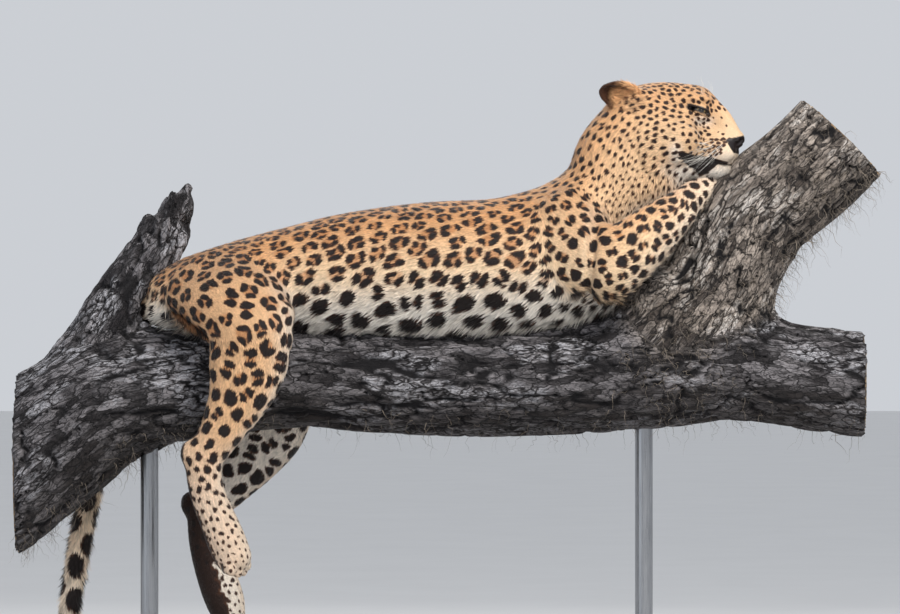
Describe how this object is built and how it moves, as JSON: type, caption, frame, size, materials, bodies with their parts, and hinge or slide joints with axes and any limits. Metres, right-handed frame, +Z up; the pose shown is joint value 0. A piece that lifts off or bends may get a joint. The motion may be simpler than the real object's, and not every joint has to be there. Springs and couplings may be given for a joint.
{
  "type": "leopard",
  "caption": "Resting leopard with its forelegs round a rising limb and its hind legs and tail hanging from a cut length of branch, on a plain stand.",
  "frame": {"origin": "middle of the underside of the stand's base", "axes": "+X along the branch towards the head, -Y towards the animal's right side, +Z up"},
  "size_m": [1.551, 0.47, 1.2183],
  "materials": {
    "coat": "short spotted fur, tan over cream with dark brown rosettes",
    "eye": "wet and clear over a yellow-green iris",
    "bark": "rough blue-grey bark with pale ridges",
    "stand_paint": "satin black paint",
    "stand_steel": "brushed steel"
  },
  "bodies": {
    "root": {"head": "coat", "ear_right": "coat", "ear_left": "coat", "eye_right": "eye", "eye_left": "eye", "neck": "coat", "torso": "coat", "tail": "coat", "fore_upper_right": "coat", "fore_upper_left": "coat", "fore_foot_right": "coat", "fore_foot_left": "coat", "hind_thigh_right": "coat", "hind_thigh_left": "coat", "hind_foot_right": "coat", "hind_foot_left": "coat", "perch_branch": "bark", "perch_limb": "bark", "perch_stub": "bark", "stand_base": "stand_paint", "stand_rod_rear": "stand_steel", "stand_rod_front": "stand_steel"}
  },
  "joints": []
}
